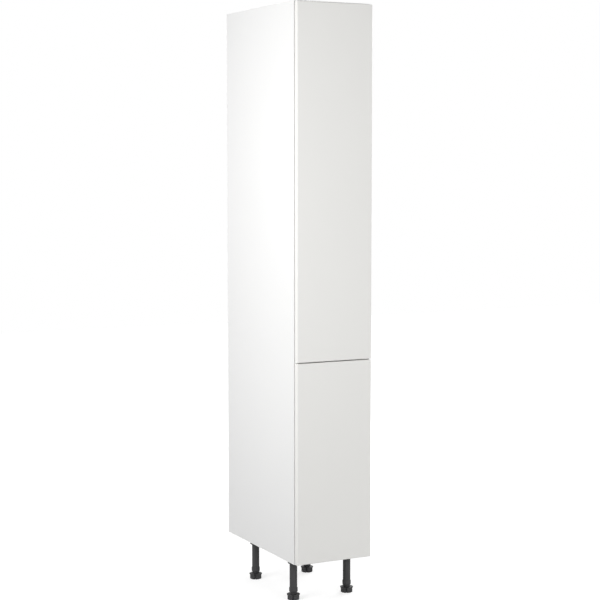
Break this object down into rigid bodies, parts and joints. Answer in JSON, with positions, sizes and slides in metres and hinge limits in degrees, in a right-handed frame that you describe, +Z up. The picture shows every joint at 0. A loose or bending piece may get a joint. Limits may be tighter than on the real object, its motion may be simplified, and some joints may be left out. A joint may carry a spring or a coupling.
{
  "type": "larder unit",
  "caption": "Tall narrow kitchen larder cabinet on adjustable legs; its slab fronts are fixed to a telescopic frame with lift-out trays that pulls out as one",
  "frame": {"origin": "on the floor, under the middle of the unit's width and of its depth over the fronts", "axes": "+Z up, the unit's height; the fronts face -Y; +X is to the right seen from the front, across the unit's width"},
  "size_m": [0.3, 0.58, 2.12],
  "materials": {
    "carcass_board": "white melamine-faced chipboard, fine matt texture",
    "back_board": "white melamine-faced board, smooth",
    "edge_tape": "white plastic edge tape, matt",
    "beech": "plain beech",
    "door_paint": "warm white satin foil on board",
    "clear_rubber": "translucent soft pads",
    "black_plastic": "moulded charcoal plastic, satin",
    "galvanised": "bright zinc-plated steel",
    "grey_steel": "silver-grey powder coat",
    "zinc_bracket": "zinc-plated pressed steel",
    "chrome": "bright chrome plate",
    "tray_board": "white melamine-faced board",
    "mat": "ribbed anti-slip mat, dark grey",
    "nylon": "off-white nylon",
    "carrier_plastic": "grey moulded nylon"
  },
  "bodies": {
    "carcass": {"side_panel_left": "carcass_board", "side_panel_right": "carcass_board", "top_panel": "carcass_board", "base_panel": "carcass_board", "back_panel": "back_board", "back_rail_top": "carcass_board", "back_rail_middle": "carcass_board", "back_rail_bottom": "carcass_board", "edge_banding": "edge_tape", "wooden_dowels": "beech", "leg_sockets": "black_plastic", "leg_tube_front_left": "black_plastic", "leg_tube_front_right": "black_plastic", "leg_tube_rear_left": "black_plastic", "leg_tube_rear_right": "black_plastic", "runner_angle_left": "galvanised", "runner_angle_right": "galvanised", "runner_outer_left": "galvanised", "runner_outer_right": "galvanised", "top_guide_rail": "galvanised"},
    "pull_out": {"front_post": "grey_steel", "rear_post": "grey_steel", "bottom_beam": "grey_steel", "top_beam": "grey_steel", "door_brackets_lower": "zinc_bracket", "door_brackets_upper": "zinc_bracket", "lower_door": "door_paint", "upper_door": "door_paint", "door_buffers": "clear_rubber", "tray_carriers": "carrier_plastic", "runner_inner_left": "galvanised", "runner_inner_right": "galvanised", "roller_axles": "galvanised"},
    "middle_runner_left": {"runner_middle_left": "galvanised"},
    "outer_ball_cage_left": {"ball_cage_outer_left": "galvanised"},
    "inner_ball_cage_left": {"ball_cage_inner_left": "galvanised"},
    "middle_runner_right": {"runner_middle_right": "galvanised"},
    "outer_ball_cage_right": {"ball_cage_outer_right": "galvanised"},
    "inner_ball_cage_right": {"ball_cage_inner_right": "galvanised"},
    "guide_roller_front": {"guide_roller_front": "nylon"},
    "guide_roller_rear": {"guide_roller_rear": "nylon"},
    "tray_1": {"tray_rail_1": "chrome", "tray_base_1": "tray_board", "tray_mat_1": "mat"},
    "tray_2": {"tray_rail_2": "chrome", "tray_base_2": "tray_board", "tray_mat_2": "mat"},
    "tray_3": {"tray_rail_3": "chrome", "tray_base_3": "tray_board", "tray_mat_3": "mat"},
    "tray_4": {"tray_rail_4": "chrome", "tray_base_4": "tray_board", "tray_mat_4": "mat"},
    "tray_5": {"tray_rail_5": "chrome", "tray_base_5": "tray_board", "tray_mat_5": "mat"},
    "foot_front_left": {"leg_foot_front_left": "black_plastic"},
    "foot_front_right": {"leg_foot_front_right": "black_plastic"},
    "foot_rear_left": {"leg_foot_rear_left": "black_plastic"},
    "foot_rear_right": {"leg_foot_rear_right": "black_plastic"}
  },
  "joints": [
    {"name": "larder_pull", "type": "slide", "parent": "carcass", "child": "pull_out", "axis": [0, -1, 0], "range_m": [0, 0.48]},
    {"name": "middle_runner_left_slide", "type": "slide", "parent": "carcass", "child": "middle_runner_left", "axis": [0, -1, 0], "range_m": [0, 0.24]},
    {"name": "outer_ball_cage_left_slide", "type": "slide", "parent": "carcass", "child": "outer_ball_cage_left", "axis": [0, -1, 0], "range_m": [0, 0.12]},
    {"name": "inner_ball_cage_left_slide", "type": "slide", "parent": "carcass", "child": "inner_ball_cage_left", "axis": [0, -1, 0], "range_m": [0, 0.36]},
    {"name": "middle_runner_right_slide", "type": "slide", "parent": "carcass", "child": "middle_runner_right", "axis": [0, -1, 0], "range_m": [0, 0.24]},
    {"name": "outer_ball_cage_right_slide", "type": "slide", "parent": "carcass", "child": "outer_ball_cage_right", "axis": [0, -1, 0], "range_m": [0, 0.12]},
    {"name": "inner_ball_cage_right_slide", "type": "slide", "parent": "carcass", "child": "inner_ball_cage_right", "axis": [0, -1, 0], "range_m": [0, 0.36]},
    {"name": "guide_roller_front_spin", "type": "hinge", "parent": "pull_out", "child": "guide_roller_front", "pos_m": [0, 0.181, 2.086], "axis": [0, 0, 1], "continuous": true},
    {"name": "guide_roller_rear_spin", "type": "hinge", "parent": "pull_out", "child": "guide_roller_rear", "pos_m": [0, 0.221, 2.086], "axis": [0, 0, 1], "continuous": true},
    {"name": "tray_1_lift", "type": "slide", "parent": "pull_out", "child": "tray_1", "axis": [0, 0, 1], "range_m": [0, 0.03]},
    {"name": "tray_2_lift", "type": "slide", "parent": "pull_out", "child": "tray_2", "axis": [0, 0, 1], "range_m": [0, 0.03]},
    {"name": "tray_3_lift", "type": "slide", "parent": "pull_out", "child": "tray_3", "axis": [0, 0, 1], "range_m": [0, 0.03]},
    {"name": "tray_4_lift", "type": "slide", "parent": "pull_out", "child": "tray_4", "axis": [0, 0, 1], "range_m": [0, 0.03]},
    {"name": "tray_5_lift", "type": "slide", "parent": "pull_out", "child": "tray_5", "axis": [0, 0, 1], "range_m": [0, 0.03]},
    {"name": "foot_front_left_turn", "type": "hinge", "parent": "carcass", "child": "foot_front_left", "pos_m": [-0.109, -0.183, 0.03], "axis": [0, 0, 1], "continuous": true},
    {"name": "foot_front_right_turn", "type": "hinge", "parent": "carcass", "child": "foot_front_right", "pos_m": [0.109, -0.183, 0.03], "axis": [0, 0, 1], "continuous": true},
    {"name": "foot_rear_left_turn", "type": "hinge", "parent": "carcass", "child": "foot_rear_left", "pos_m": [-0.109, 0.134, 0.03], "axis": [0, 0, 1], "continuous": true},
    {"name": "foot_rear_right_turn", "type": "hinge", "parent": "carcass", "child": "foot_rear_right", "pos_m": [0.109, 0.134, 0.03], "axis": [0, 0, 1], "continuous": true}
  ],
  "couplings": [
    {"joint": "middle_runner_left_slide", "follows": "larder_pull", "ratio": 0.5},
    {"joint": "outer_ball_cage_left_slide", "follows": "larder_pull", "ratio": 0.25},
    {"joint": "inner_ball_cage_left_slide", "follows": "larder_pull", "ratio": 0.75},
    {"joint": "middle_runner_right_slide", "follows": "larder_pull", "ratio": 0.5},
    {"joint": "outer_ball_cage_right_slide", "follows": "larder_pull", "ratio": 0.25},
    {"joint": "inner_ball_cage_right_slide", "follows": "larder_pull", "ratio": 0.75}
  ]
}
